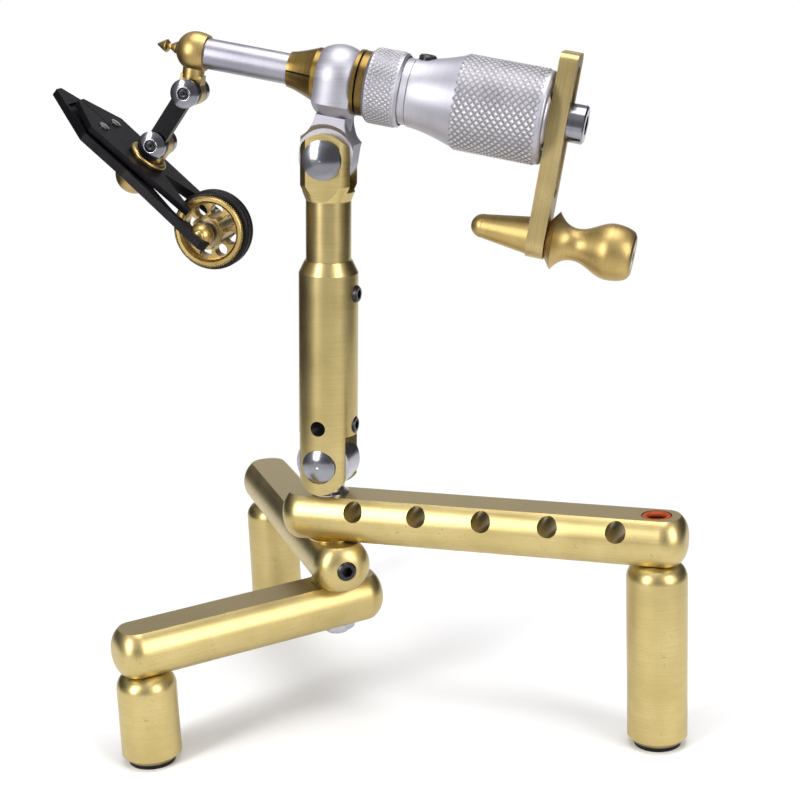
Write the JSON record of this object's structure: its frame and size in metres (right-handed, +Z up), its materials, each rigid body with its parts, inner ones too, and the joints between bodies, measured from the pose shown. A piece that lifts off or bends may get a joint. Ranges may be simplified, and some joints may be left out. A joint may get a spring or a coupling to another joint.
{
  "type": "fly tying vise",
  "caption": "Bench fly tying vise with rotary head, offset jaws, crank, drag nut and drum, on a tilting stem over a fold-out base of round bars with rubber-footed legs.",
  "frame": {"origin": "at table level, under the middle of the vise's overall box at rest", "axes": "+Z up; +X along the shaft towards the crank, seen from above; +Y away from the near side, where the tool holes and the joint bolts' heads show"},
  "size_m": [0.17, 0.122, 0.1898],
  "materials": {
    "gold": "satin",
    "antique_brass": "satin",
    "silver": "satin",
    "steel": "satin",
    "black_steel": "satin",
    "black_plastic": "matte",
    "rubber": "matte",
    "red_rubber": "matte"
  },
  "bodies": {
    "base": {"top_bar": "gold", "top_leg": "gold", "top_foot": "rubber", "base_bolt": "steel", "base_nut": "steel", "upper_bar_washer": "gold", "lower_bar_washer": "gold", "socket_ring": "red_rubber"},
    "middle_arm": {"middle_bar": "gold", "middle_leg": "gold", "middle_foot": "rubber", "bar_set_screw": "black_steel"},
    "low_arm": {"low_bar": "gold", "low_leg": "gold", "low_foot": "rubber"},
    "stem_foot": {"stem_foot": "steel"},
    "sleeve": {"sleeve": "gold", "knuckle_pin": "steel", "sleeve_set_screws": "black_steel"},
    "post": {"post": "gold", "clevis_pin": "steel"},
    "head": {"head_block": "silver", "bearing_bush": "gold"},
    "rotor": {"spindle": "steel", "collet": "antique_brass", "drag_ring": "black_plastic", "drag_washer": "antique_brass", "drum": "silver", "drum_set_screw": "black_steel", "end_cap": "silver", "crank_bolt": "steel"},
    "drag_nut": {"drag_nut": "silver"},
    "crank": {"crank_arm": "gold", "peg": "gold", "knob_axle": "steel"},
    "knob": {"knob": "gold"},
    "arm": {"arm_tube": "silver", "ball_end": "gold", "finial": "gold", "upper_joint_bolt": "steel", "upper_joint_washer": "black_steel", "upper_joint_nut": "steel"},
    "link": {"link": "black_steel"},
    "jaw_mount": {"swivel_mount": "gold", "lower_joint_bolt": "steel", "lower_joint_washer": "black_steel", "lower_joint_nut": "steel", "dome_nut": "gold"},
    "jaw": {"jaw_plate": "black_steel", "fulcrum_pins": "steel"},
    "near_jaw": {"near_jaw": "black_steel", "near_ball_nut": "gold", "near_nut_screw": "steel"},
    "far_jaw": {"far_jaw": "black_steel", "far_ball_nut": "gold", "far_nut_screw": "steel"},
    "wheel": {"wheel": "gold", "tyres": "rubber", "wheel_axle": "steel"}
  },
  "joints": [
    {"name": "middle_bar_fold", "type": "hinge", "parent": "base", "child": "middle_arm", "pos_m": [-0.01366, -0.01137, 0.0388], "axis": [0, 0, 1], "range_deg": [-127, 45]},
    {"name": "low_bar_fold", "type": "hinge", "parent": "base", "child": "low_arm", "pos_m": [-0.01366, -0.01137, 0.026], "axis": [0, 0, 1], "range_deg": [-45, 129]},
    {"name": "stem_swivel", "type": "hinge", "parent": "base", "child": "stem_foot", "pos_m": [-0.01366, -0.01137, 0.064], "axis": [0, 0, 1], "range_deg": [-180, 180]},
    {"name": "stem_tilt", "type": "hinge", "parent": "stem_foot", "child": "sleeve", "pos_m": [-0.01366, -0.01137, 0.0733], "axis": [0.1045, 0.9945, 0], "range_deg": [-20, 20]},
    {"name": "post_height", "type": "slide", "parent": "sleeve", "child": "post", "axis": [0.0555, -0.0058, 0.9984], "range_m": [0, 0.03]},
    {"name": "head_tilt", "type": "hinge", "parent": "post", "child": "head", "pos_m": [-0.00904, -0.01185, 0.15637], "axis": [0.0002, 1, 0.0058], "range_deg": [-25, 30]},
    {"name": "rotary", "type": "hinge", "parent": "head", "child": "rotor", "pos_m": [-0.00487, -0.01197, 0.17654], "axis": [0.9793, 0.001, -0.2025], "continuous": true},
    {"name": "drag_turn", "type": "hinge", "parent": "rotor", "child": "drag_nut", "pos_m": [0.00306, -0.01196, 0.1749], "axis": [0.9793, 0.001, -0.2025], "range_deg": [-90, 90]},
    {"name": "crank_reach", "type": "slide", "parent": "rotor", "child": "crank", "axis": [0.2025, -0.0057, 0.9793], "range_m": [-0.0105, 0.012]},
    {"name": "knob_spin", "type": "hinge", "parent": "crank", "child": "knob", "pos_m": [-0.01101, -0.0118, 0.14687], "axis": [0.9793, 0.001, -0.2025], "continuous": true},
    {"name": "arm_slide", "type": "slide", "parent": "rotor", "child": "arm", "axis": [0.9793, 0.001, -0.2025], "range_m": [-0.01, 0.012]},
    {"name": "link_swing", "type": "hinge", "parent": "arm", "child": "link", "pos_m": [-0.04592, -0.01195, 0.1741], "axis": [0.0002, 1, 0.0058], "range_deg": [-15, 25]},
    {"name": "jaw_pitch", "type": "hinge", "parent": "link", "child": "jaw_mount", "pos_m": [-0.05626, -0.01187, 0.16061], "axis": [0.0002, 1, 0.0058], "range_deg": [-20, 20]},
    {"name": "jaw_swivel", "type": "hinge", "parent": "jaw_mount", "child": "jaw", "pos_m": [-0.05991, -0.01185, 0.15663], "axis": [0.6754, -0.0044, 0.7375], "range_deg": [-60, 60]},
    {"name": "wheel_turn", "type": "hinge", "parent": "jaw", "child": "wheel", "pos_m": [-0.0425, -0.01174, 0.1373], "axis": [0.0002, 1, 0.0058], "range_deg": [0, 850]},
    {"name": "near_jaw_open", "type": "hinge", "parent": "jaw", "child": "near_jaw", "pos_m": [-0.06987, -0.0158, 0.16573], "axis": [0.6754, -0.0044, 0.7375], "range_deg": [0, 1.75]},
    {"name": "far_jaw_open", "type": "hinge", "parent": "jaw", "child": "far_jaw", "pos_m": [-0.06986, -0.008, 0.16577], "axis": [0.6754, -0.0044, 0.7375], "range_deg": [-1.75, 0]}
  ],
  "couplings": [
    {"joint": "near_jaw_open", "follows": "wheel_turn", "ratio": 0.002},
    {"joint": "far_jaw_open", "follows": "wheel_turn", "ratio": -0.002}
  ]
}
